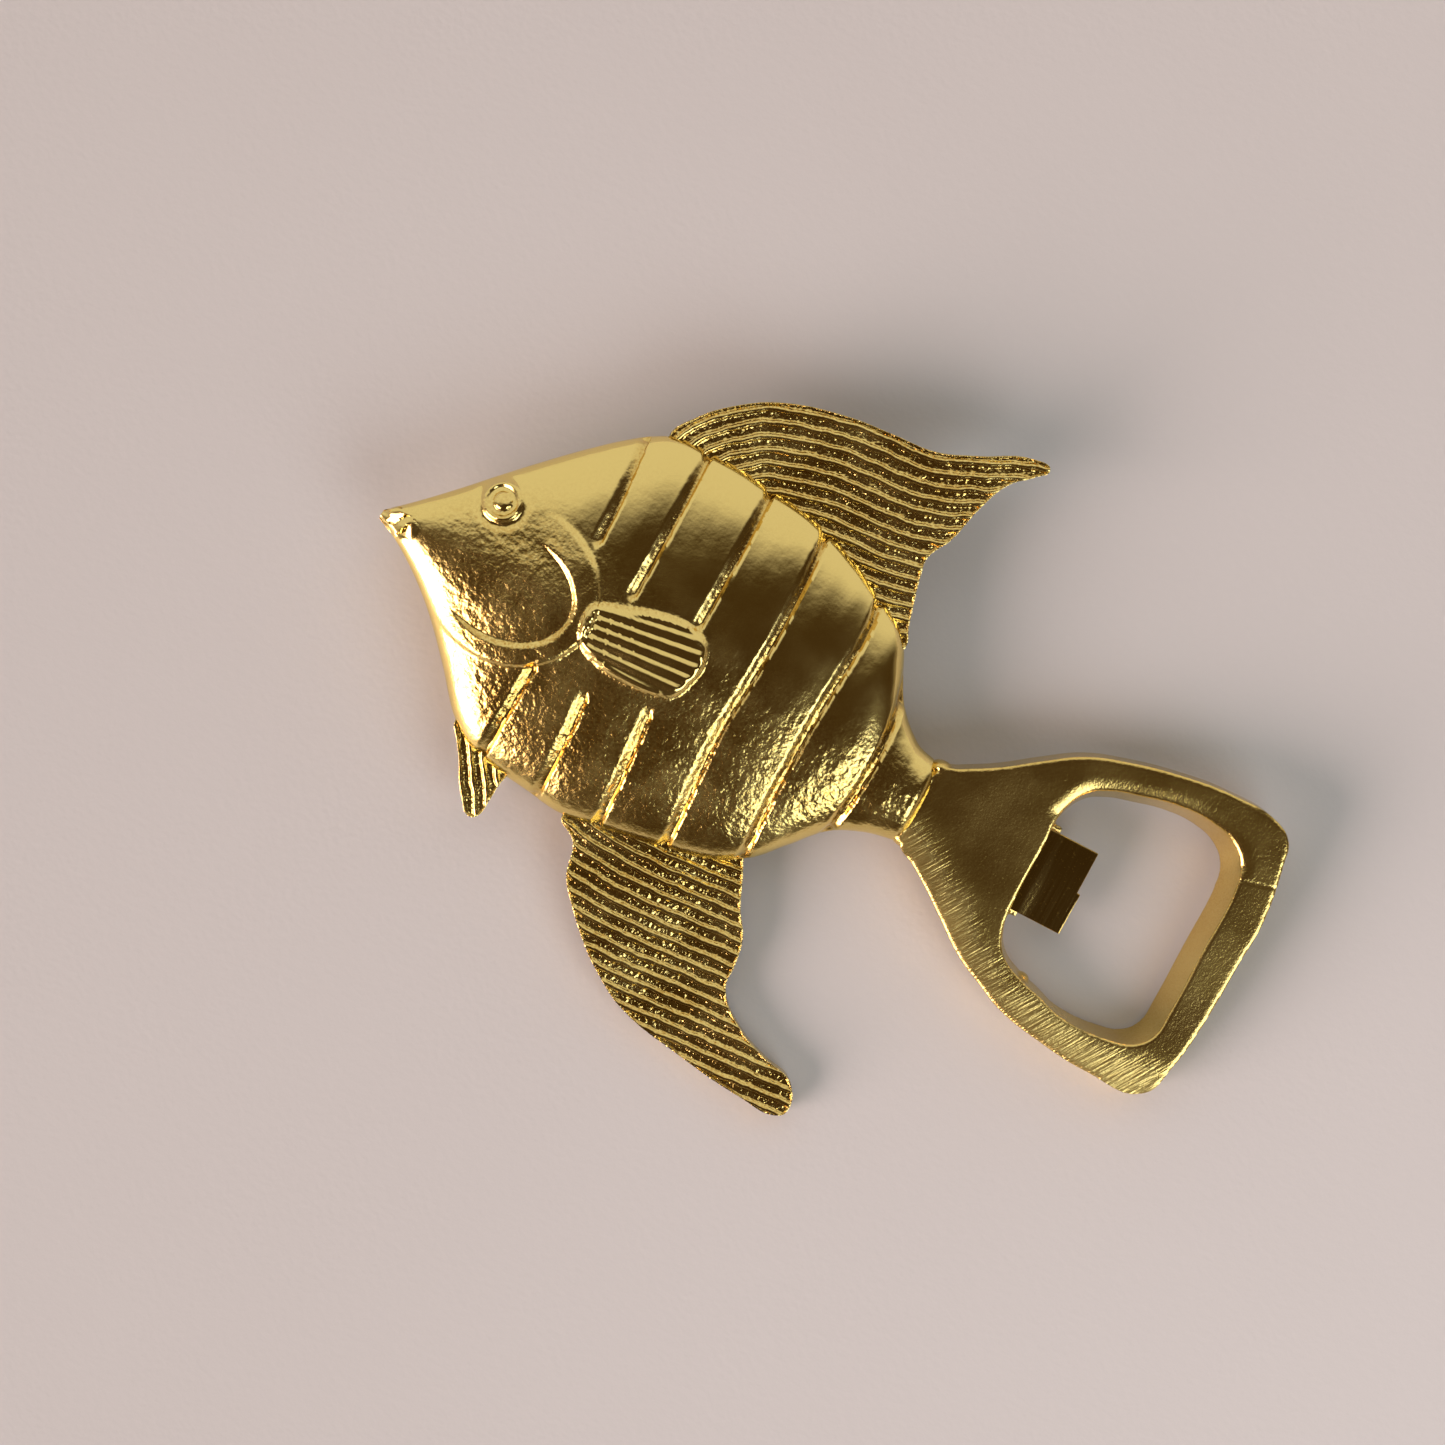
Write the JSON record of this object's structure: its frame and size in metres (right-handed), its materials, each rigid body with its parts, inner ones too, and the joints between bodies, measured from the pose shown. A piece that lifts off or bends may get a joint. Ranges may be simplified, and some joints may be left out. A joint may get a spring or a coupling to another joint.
{
  "type": "bottle opener",
  "caption": "Cast angelfish-shaped bottle opener whose tail is a ring for a crown cap, with a sheet-metal striker tab.",
  "frame": {"origin": "middle of the bounding box's underside; the mould's parting plane lies at mid-thickness", "axes": "+X from the lips to the tail ring, +Y from belly to back fin, +Z out of the front face"},
  "size_m": [0.1364, 0.0998, 0.016],
  "materials": {
    "cast_gold_metal": "as-cast grain, polished on the body, linished on the tail ring",
    "tab_gold_metal": "gold-toned rolled strip, sheared edges"
  },
  "bodies": {
    "root": {"fish_casting": "cast_gold_metal", "striker_tab": "tab_gold_metal"}
  },
  "joints": []
}
